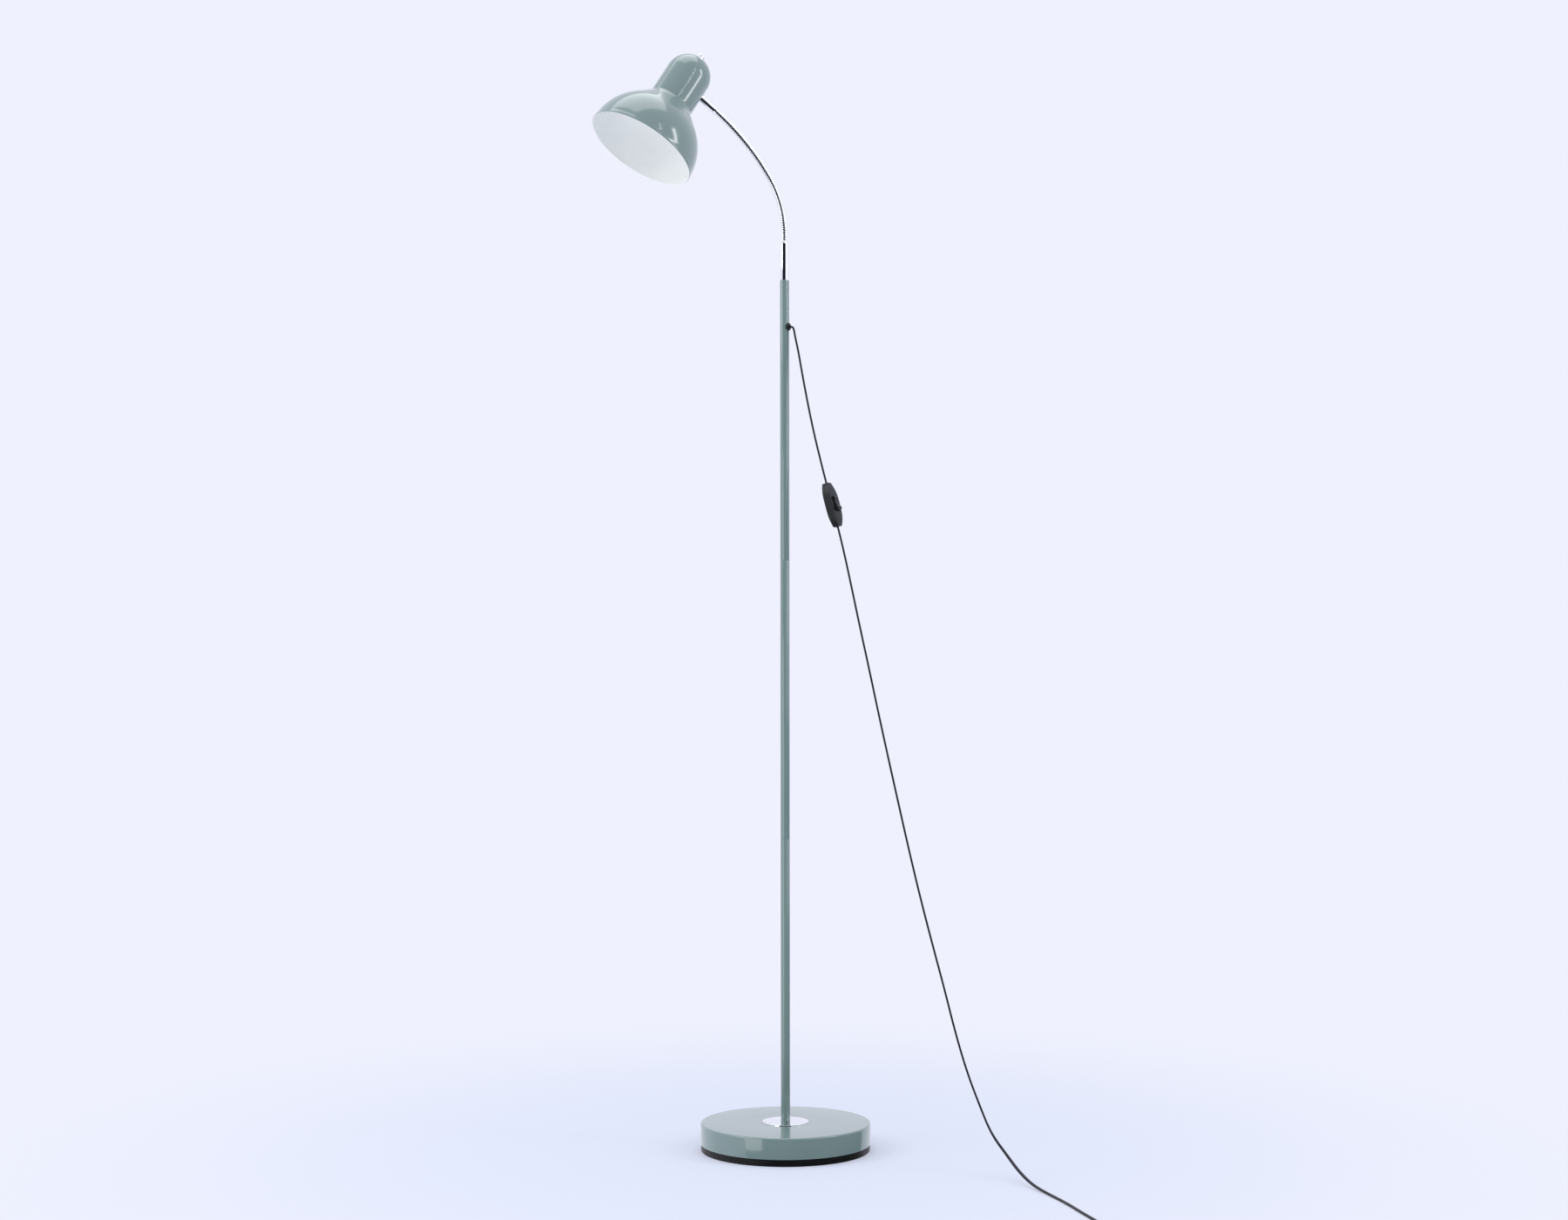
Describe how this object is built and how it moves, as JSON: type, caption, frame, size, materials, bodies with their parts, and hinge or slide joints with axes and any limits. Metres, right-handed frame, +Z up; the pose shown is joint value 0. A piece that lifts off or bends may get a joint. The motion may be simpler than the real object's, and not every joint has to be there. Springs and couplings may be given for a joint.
{
  "type": "gooseneck reading floor lamp",
  "caption": "Floor lamp: weighted round base, slim upright pole, ribbed flexible neck, and a tilting dome shade under a tall cup, with a rocker switch in its cord.",
  "frame": {"origin": "middle of the base's underside, on the floor", "axes": "+Z up the pole; the flexible neck leans towards -X at rest"},
  "size_m": [0.4175, 0.728, 1.4064],
  "materials": {
    "sage_paint": "gloss paint",
    "shade_paint": "gloss paint outside, white inside",
    "chrome": "polished",
    "black_moulding": "fine satin",
    "black_cord": "satin",
    "iron": "rough",
    "zinc_steel": "zinc plated",
    "brass": "plain",
    "holder_moulding": "plain"
  },
  "bodies": {
    "root": {"base_tray": "black_moulding", "base_cover": "sage_paint", "base_weight": "iron", "base_disc": "chrome", "base_washer": "zinc_steel", "base_nut": "zinc_steel", "base_stud": "zinc_steel", "pole_lower": "sage_paint", "pole_middle": "sage_paint", "pole_upper": "sage_paint", "pole_bushes": "zinc_steel", "pole_studs": "zinc_steel", "neck_sleeve": "chrome", "cord_grommet": "black_moulding", "pole_lead": "black_cord", "switch_cover": "black_moulding", "switch_back": "black_moulding", "switch_screws": "zinc_steel", "rocker_pin": "zinc_steel", "cord_upper": "black_cord", "cord_lower": "black_cord", "cord_coil": "black_cord", "coil_tie": "black_moulding", "plug_body": "black_moulding", "plug_boot": "black_moulding", "plug_pins": "brass"},
    "neck_1": {"neck_stretch_1": "chrome"},
    "neck_2": {"neck_stretch_2": "chrome"},
    "neck_3": {"neck_stretch_3": "chrome"},
    "neck_4": {"neck_stretch_4": "chrome"},
    "neck_5": {"neck_stretch_5": "chrome"},
    "neck_6": {"neck_stretch_6": "chrome"},
    "neck_7": {"neck_stretch_7": "chrome"},
    "neck_8": {"neck_stretch_8": "chrome"},
    "head": {"neck_ferrule": "chrome", "shade_dome": "shade_paint", "shade_cup": "shade_paint", "saddle_washer": "zinc_steel", "ferrule_nut": "zinc_steel", "lamp_wires": "black_cord", "lampholder_skirt": "holder_moulding", "lampholder_cap": "holder_moulding", "screw_shell": "brass", "centre_contact": "brass", "cup_nipple": "zinc_steel", "nipple_nut": "zinc_steel", "finial_nut": "chrome"},
    "rocker": {"switch_rocker": "black_moulding"}
  },
  "joints": [
    {"name": "neck_swing", "type": "hinge", "parent": "root", "child": "neck_1", "pos_m": [0, 0, 1.1765], "axis": [0, 0, 1], "range_deg": [-150, 150]},
    {"name": "neck_bend_1", "type": "hinge", "parent": "neck_1", "child": "neck_2", "pos_m": [-0.00128, 0, 1.20047], "axis": [0, -1, 0], "range_deg": [-13, 13]},
    {"name": "neck_bend_2", "type": "hinge", "parent": "neck_2", "child": "neck_3", "pos_m": [-0.00688, 0, 1.22411], "axis": [0, -1, 0], "range_deg": [-13, 13]},
    {"name": "neck_bend_3", "type": "hinge", "parent": "neck_3", "child": "neck_4", "pos_m": [-0.01676, 0, 1.24631], "axis": [0, -1, 0], "range_deg": [-13, 13]},
    {"name": "neck_bend_4", "type": "hinge", "parent": "neck_4", "child": "neck_5", "pos_m": [-0.03038, 0, 1.26644], "axis": [0, -1, 0], "range_deg": [-13, 13]},
    {"name": "neck_bend_5", "type": "hinge", "parent": "neck_5", "child": "neck_6", "pos_m": [-0.04589, 0, 1.28518], "axis": [0, -1, 0], "range_deg": [-13, 13]},
    {"name": "neck_bend_6", "type": "hinge", "parent": "neck_6", "child": "neck_7", "pos_m": [-0.06281, 0, 1.30265], "axis": [0, -1, 0], "range_deg": [-13, 13]},
    {"name": "neck_bend_7", "type": "hinge", "parent": "neck_7", "child": "neck_8", "pos_m": [-0.08105, 0, 1.31874], "axis": [0, -1, 0], "range_deg": [-13, 13]},
    {"name": "neck_bend_8", "type": "hinge", "parent": "neck_8", "child": "head", "pos_m": [-0.10049, 0, 1.33336], "axis": [0, -1, 0], "range_deg": [-13, 13]},
    {"name": "switch_rock", "type": "hinge", "parent": "root", "child": "rocker", "pos_m": [0.03505, -0.06456, 0.83394], "axis": [0.8788, 0.4772, 0], "range_deg": [0, 16]}
  ]
}
